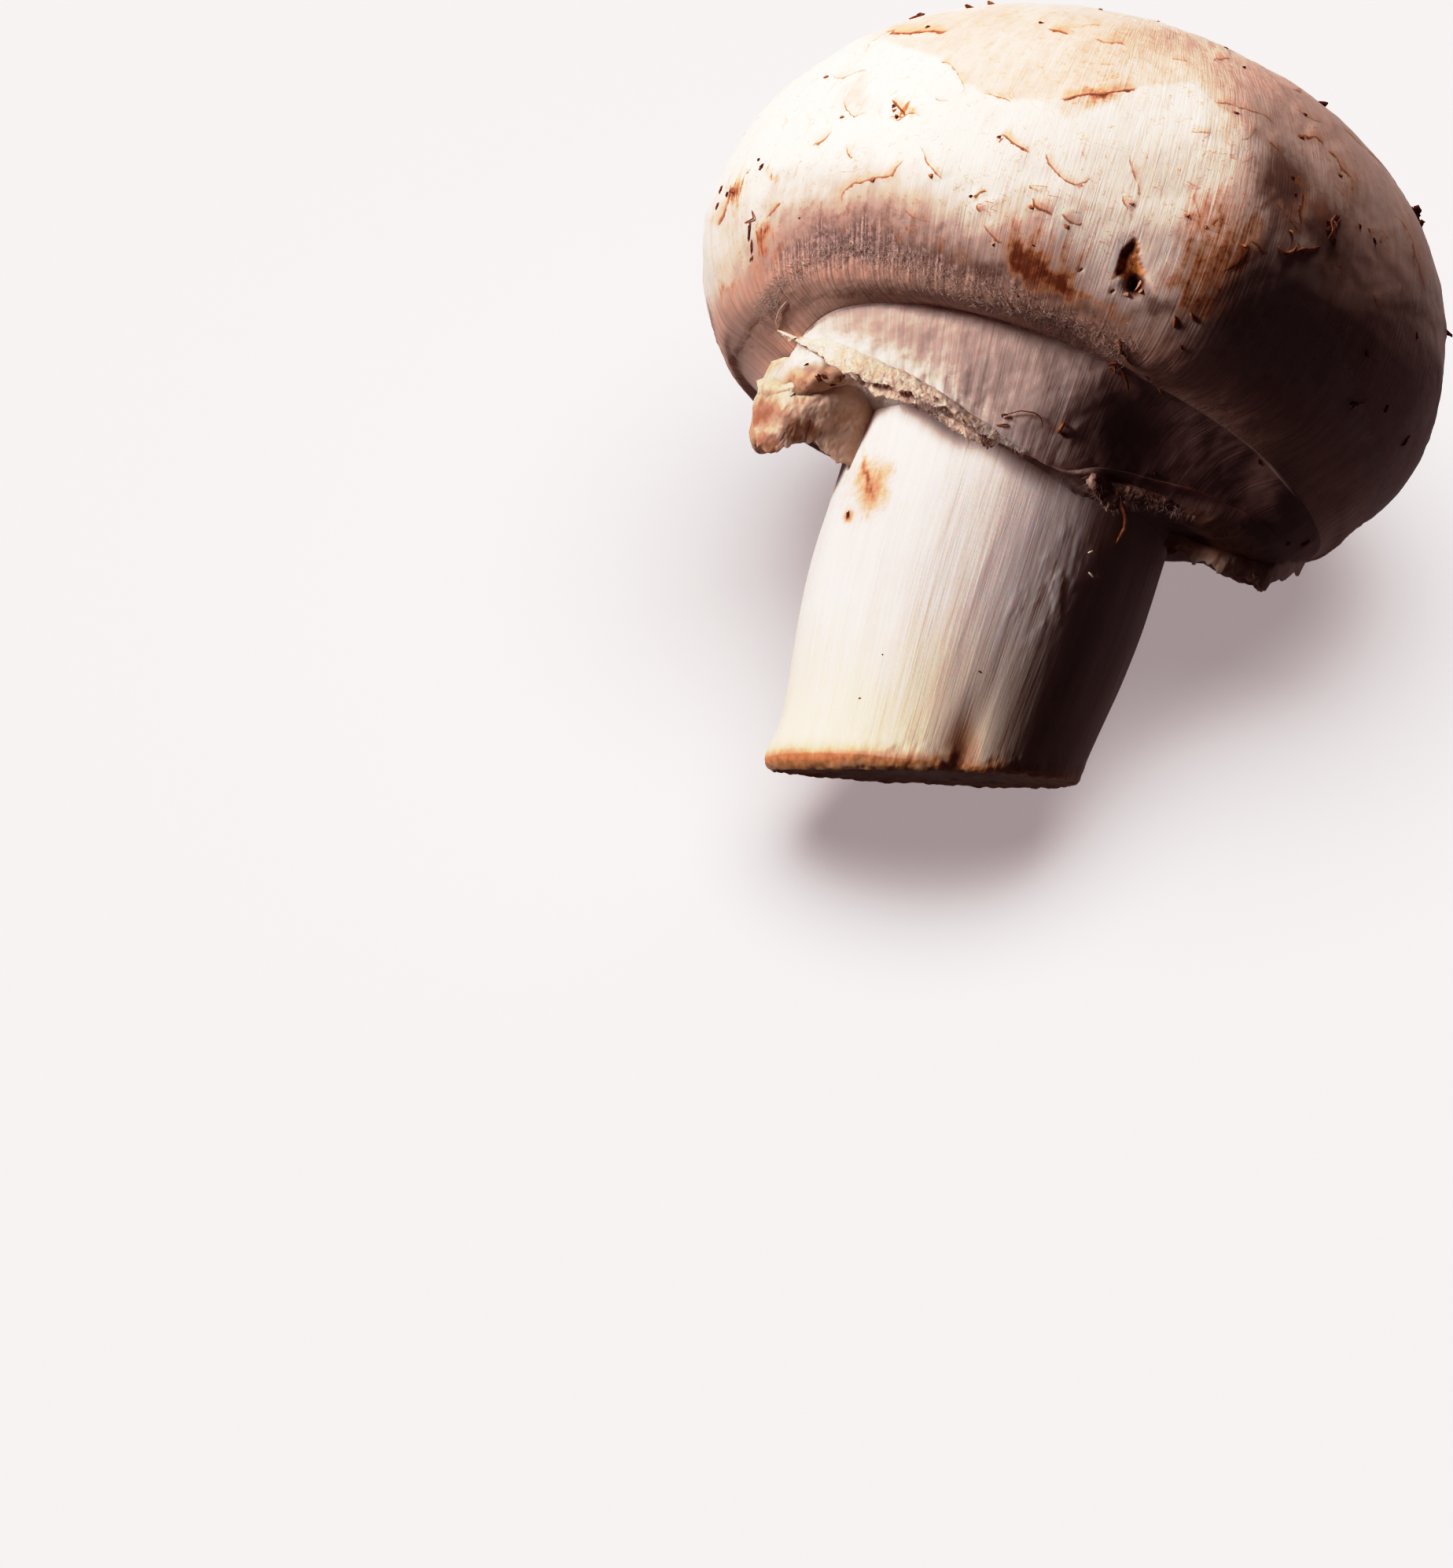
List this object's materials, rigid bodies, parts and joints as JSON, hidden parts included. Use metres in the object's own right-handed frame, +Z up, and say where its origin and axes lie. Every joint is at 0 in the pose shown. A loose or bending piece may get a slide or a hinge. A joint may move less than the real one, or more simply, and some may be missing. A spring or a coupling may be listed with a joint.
{
  "type": "button mushroom",
  "caption": "Closed-cup button mushroom lying on its side: scaly domed cap with inrolled rim, torn veil with a free lip, thick stalk with a slanting cut.",
  "frame": {"origin": "centre of the bounding box in plan, at the height of the surface the mushroom lies on", "axes": "+Z up; +Y from the stalk's cut end towards the cap, level with the table; +X to the right of the stalk seen from the cut end"},
  "size_m": [0.051, 0.0578, 0.0477],
  "materials": {
    "mushroom_flesh": null
  },
  "bodies": {
    "root": {"button_mushroom": "mushroom_flesh"}
  },
  "joints": []
}
